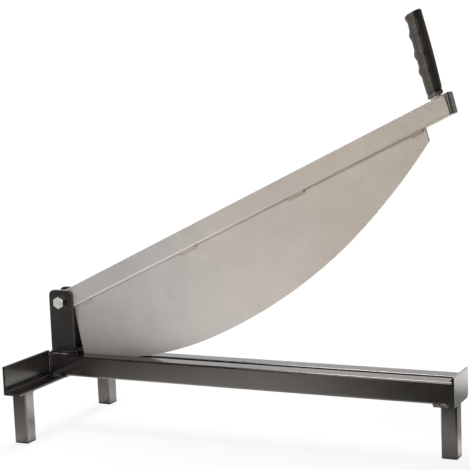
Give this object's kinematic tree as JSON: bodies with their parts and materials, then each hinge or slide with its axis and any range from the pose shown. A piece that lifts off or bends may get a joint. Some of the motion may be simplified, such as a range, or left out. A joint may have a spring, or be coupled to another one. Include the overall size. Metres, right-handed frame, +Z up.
{
  "type": "slate cutter",
  "caption": "Guillotine slate cutter: a low steel bed of rails on legs, with a long bellied blade under a hinged arm that comes down between the rails, worked by a finger grip.",
  "frame": {"origin": "on the floor, under the middle of the bed", "axes": "+Z up, +X along the bed from the hinge towards the far end, -Y towards the user"},
  "size_m": [0.695, 0.324, 0.657],
  "materials": {
    "frame_paint": "semi-gloss black paint",
    "black_plastic": "moulded, satin",
    "zinc_plate": "bright zinc plate",
    "bare_steel": "satin, lightly mottled sheet steel",
    "grip_rubber": "moulded, satin"
  },
  "bodies": {
    "bed": {"front_rail": "frame_paint", "rear_rail": "frame_paint", "cross_angle": "frame_paint", "end_angle": "frame_paint", "front_left_leg": "frame_paint", "rear_left_leg": "frame_paint", "right_leg": "frame_paint", "front_left_foot": "black_plastic", "rear_left_foot": "black_plastic", "right_foot": "black_plastic", "front_post": "frame_paint", "rear_post": "frame_paint", "pivot_bolt": "zinc_plate", "pivot_nut": "zinc_plate", "pivot_washers": "zinc_plate", "post_welds": "frame_paint", "cross_angle_welds": "frame_paint", "end_angle_welds": "frame_paint", "leg_welds": "frame_paint"},
    "arm": {"arm_tube": "bare_steel", "pivot_bush": "bare_steel", "blade": "bare_steel", "blade_welds": "bare_steel", "arm_end_cap": "black_plastic", "handle_rod": "bare_steel", "hand_grip": "grip_rubber"}
  },
  "joints": [
    {"name": "blade_pivot", "type": "hinge", "parent": "bed", "child": "arm", "pos_m": [-0.326, 0, 0.208], "axis": [0, -1, 0], "range_deg": [-28, 60]}
  ]
}
